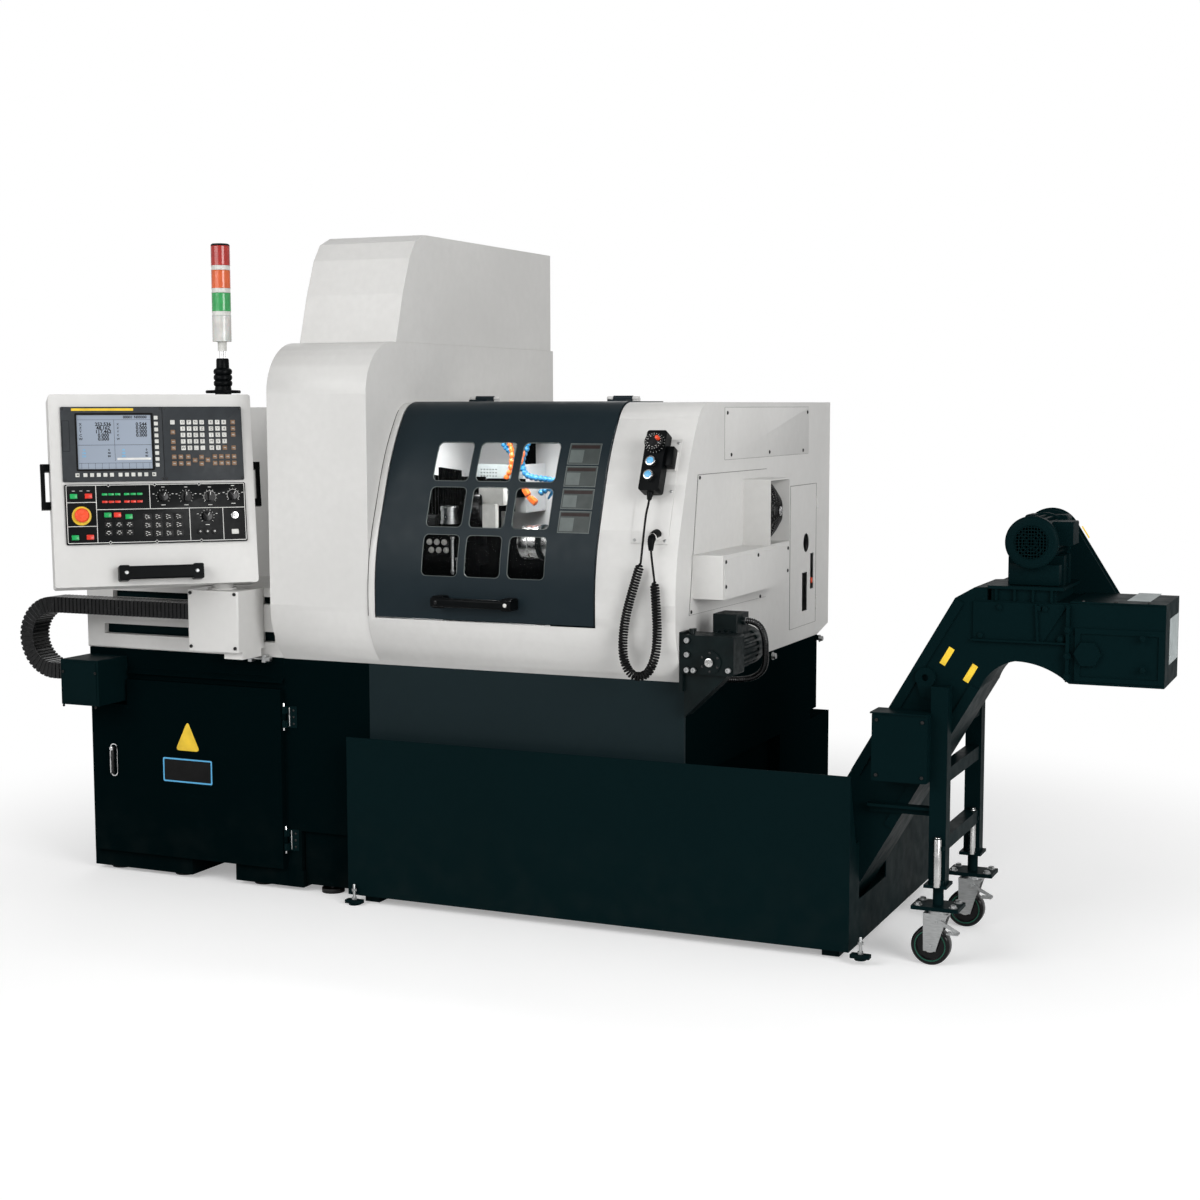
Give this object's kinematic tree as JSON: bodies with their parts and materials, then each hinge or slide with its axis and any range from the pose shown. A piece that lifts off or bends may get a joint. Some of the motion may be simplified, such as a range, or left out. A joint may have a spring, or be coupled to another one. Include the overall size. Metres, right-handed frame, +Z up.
{
  "type": "turning machine",
  "caption": "Sliding-head CNC turning lathe: white covers, curved dark lift-up work door, control panel on a sliding rail, electrical cabinet, coolant tank and chip conveyor on casters.",
  "frame": {"origin": "centre of the machine's bounding box, without its two free cords, on the floor", "axes": "+X runs to the operator's right, along the machine from the control panel to the chip conveyor; +Y from the operator to the back; +Z up"},
  "size_m": [3.3834, 1.7882, 1.947],
  "materials": {
    "white_cover": "satin",
    "grey_cover": "satin",
    "dark_paint": "satin",
    "door_paint": "satin",
    "liner_steel": "brushed",
    "steel": "satin",
    "chrome": "polished",
    "aluminium": "satin",
    "cast": "painted",
    "black_plastic": "matte",
    "grey_plastic": "matte",
    "light_plastic": "matte",
    "window": "clear",
    "lens": "gloss",
    "red_plastic": "gloss",
    "green_plastic": "gloss",
    "rubber": "matte",
    "wheel_green": "satin",
    "hose_blue": "gloss"
  },
  "bodies": {
    "machine": {"base_frame": "dark_paint", "levelling_feet": "steel", "apron_panel": "grey_cover", "electrical_cabinet": "dark_paint", "cabinet_equipment": "steel", "cabinet_hinges": "chrome", "left_cover": "white_cover", "chain_junction_box": "dark_paint", "cable_chain": "black_plastic", "head_cover": "white_cover", "top_hood": "white_cover", "main_cover": "white_cover", "interior_liner": "liner_steel", "guide_bush_block": "cast", "coolant_hoses": "hose_blue", "side_housing": "white_cover", "fan_guard": "steel", "gearbox": "cast", "gear_motor": "cast", "motor_conduit": "rubber", "mpg_plate": "aluminium", "mpg_body": "black_plastic", "mpg_cord": "rubber", "coolant_tank": "dark_paint", "conveyor_body": "dark_paint", "discharge_box": "dark_paint", "conveyor_motor": "cast", "chain_guard": "dark_paint", "conveyor_stand": "dark_paint"},
    "work_door": {"work_door": "door_paint", "door_pane": "window", "door_handle": "black_plastic"},
    "cabinet_door": {"cabinet_door": "dark_paint"},
    "cabinet_latch": {"cabinet_latch": "chrome"},
    "carriage": {"carriage": "dark_paint"},
    "panel": {"panel_housing": "light_plastic", "cnc_unit": "grey_plastic", "operator_panel": "light_plastic", "panel_handles": "black_plastic", "tower_light": "lens"},
    "e_stop_button": {"e_stop_button": "red_plastic"},
    "start_button": {"start_button": "green_plastic"},
    "hold_button": {"hold_button": "red_plastic"},
    "mode_knob": {"mode_knob": "black_plastic"},
    "feed_knob": {"feed_knob": "black_plastic"},
    "mpg_dial": {"mpg_dial": "black_plastic"},
    "mpg_knob_upper": {"mpg_knob_upper": "black_plastic"},
    "mpg_knob_lower": {"mpg_knob_lower": "black_plastic"},
    "access_door": {"access_door": "white_cover"},
    "fan_rotor": {"fan_rotor": "black_plastic"},
    "main_spindle": {"main_spindle": "steel"},
    "tool_gang": {"tool_gang": "steel"},
    "sub_spindle_slide": {"sub_spindle_slide": "cast"},
    "sub_spindle": {"sub_spindle": "steel"},
    "caster_fork_front": {"caster_fork_front": "steel"},
    "caster_fork_rear": {"caster_fork_rear": "steel"},
    "caster_wheel_front": {"caster_wheel_front": "wheel_green"},
    "caster_wheel_rear": {"caster_wheel_rear": "wheel_green"},
    "caster_brake_front": {"caster_brake_front": "steel"},
    "caster_brake_rear": {"caster_brake_rear": "steel"}
  },
  "joints": [
    {"name": "door_lift", "type": "hinge", "parent": "machine", "child": "work_door", "pos_m": [-0.12275, 0.00409, 1.465], "axis": [-1, 0, 0], "range_deg": [0, 75]},
    {"name": "cabinet_door_swing", "type": "hinge", "parent": "machine", "child": "cabinet_door", "pos_m": [-0.81625, -0.44791, 0.35], "axis": [0, 0, 1], "range_deg": [0, 110]},
    {"name": "cabinet_latch_lift", "type": "hinge", "parent": "cabinet_door", "child": "cabinet_latch", "pos_m": [-1.43125, -0.46371, 0.392], "axis": [-1, 0, 0], "range_deg": [0, 60]},
    {"name": "panel_slide", "type": "slide", "parent": "machine", "child": "carriage", "axis": [-1, 0, 0], "range_m": [0, 0.3], "deforming": ["cable_chain"]},
    {"name": "panel_swivel", "type": "hinge", "parent": "carriage", "child": "panel", "pos_m": [-0.98025, -0.51091, 0.9], "axis": [0, 0, 1], "range_deg": [-43, 40]},
    {"name": "e_stop_press", "type": "slide", "parent": "panel", "child": "e_stop_button", "axis": [-0.6759, 0.7163, -0.1735], "range_m": [0, 0.008], "stiffness_N_per_m": 1500},
    {"name": "start_press", "type": "slide", "parent": "panel", "child": "start_button", "axis": [-0.6759, 0.7163, -0.1735], "range_m": [0, 0.003], "stiffness_N_per_m": 800},
    {"name": "hold_press", "type": "slide", "parent": "panel", "child": "hold_button", "axis": [-0.6759, 0.7163, -0.1735], "range_m": [0, 0.003], "stiffness_N_per_m": 800},
    {"name": "mode_knob_turn", "type": "hinge", "parent": "panel", "child": "mode_knob", "pos_m": [-1.02961, -0.6107, 1.1836], "axis": [0.6759, -0.7163, 0.1735], "range_deg": [-120, 120]},
    {"name": "feed_knob_turn", "type": "hinge", "parent": "panel", "child": "feed_knob", "pos_m": [-0.98004, -0.56416, 1.18262], "axis": [0.6759, -0.7163, 0.1735], "range_deg": [-150, 150]},
    {"name": "hand_wheel_turn", "type": "hinge", "parent": "machine", "child": "mpg_dial", "pos_m": [0.36975, -0.44877, 1.34342], "axis": [0, -0.9186, 0.3952], "continuous": true},
    {"name": "axis_knob_turn", "type": "hinge", "parent": "machine", "child": "mpg_knob_upper", "pos_m": [0.36975, -0.4709, 1.29198], "axis": [0, -0.9186, 0.3952], "range_deg": [-90, 90]},
    {"name": "step_knob_turn", "type": "hinge", "parent": "machine", "child": "mpg_knob_lower", "pos_m": [0.36975, -0.48631, 1.25616], "axis": [0, -0.9186, 0.3952], "range_deg": [-90, 90]},
    {"name": "access_door_swing", "type": "hinge", "parent": "machine", "child": "access_door", "pos_m": [0.45575, 0.72709, 0.97], "axis": [0, 0, 1], "range_deg": [0, 100]},
    {"name": "fan_turn", "type": "hinge", "parent": "machine", "child": "fan_rotor", "pos_m": [0.47975, 0.10109, 1.138], "axis": [1, 0, 0], "continuous": true},
    {"name": "main_spindle_turn", "type": "hinge", "parent": "machine", "child": "main_spindle", "pos_m": [-0.33025, -0.20591, 1.05], "axis": [1, 0, 0], "continuous": true},
    {"name": "gang_feed", "type": "slide", "parent": "machine", "child": "tool_gang", "axis": [0, 0, 1], "range_m": [-0.06, 0.06]},
    {"name": "sub_spindle_feed", "type": "slide", "parent": "machine", "child": "sub_spindle_slide", "axis": [1, 0, 0], "range_m": [-0.1, 0.04]},
    {"name": "sub_spindle_turn", "type": "hinge", "parent": "sub_spindle_slide", "child": "sub_spindle", "pos_m": [0.01975, -0.20591, 1.05], "axis": [1, 0, 0], "continuous": true},
    {"name": "caster_front_swivel", "type": "hinge", "parent": "machine", "child": "caster_fork_front", "pos_m": [1.14575, -0.41191, 0.12], "axis": [0, 0, 1], "continuous": true},
    {"name": "caster_front_roll", "type": "hinge", "parent": "caster_fork_front", "child": "caster_wheel_front", "pos_m": [1.12975, -0.41191, 0.051], "axis": [0, 1, 0], "continuous": true},
    {"name": "caster_front_brake", "type": "hinge", "parent": "caster_fork_front", "child": "caster_brake_front", "pos_m": [1.14975, -0.41191, 0.118], "axis": [0, 1, 0], "range_deg": [0, 20]},
    {"name": "caster_rear_swivel", "type": "hinge", "parent": "machine", "child": "caster_fork_rear", "pos_m": [1.14575, -0.01391, 0.12], "axis": [0, 0, 1], "continuous": true},
    {"name": "caster_rear_roll", "type": "hinge", "parent": "caster_fork_rear", "child": "caster_wheel_rear", "pos_m": [1.12975, -0.01391, 0.051], "axis": [0, 1, 0], "continuous": true},
    {"name": "caster_rear_brake", "type": "hinge", "parent": "caster_fork_rear", "child": "caster_brake_rear", "pos_m": [1.14975, -0.01391, 0.118], "axis": [0, 1, 0], "range_deg": [0, 20]}
  ]
}
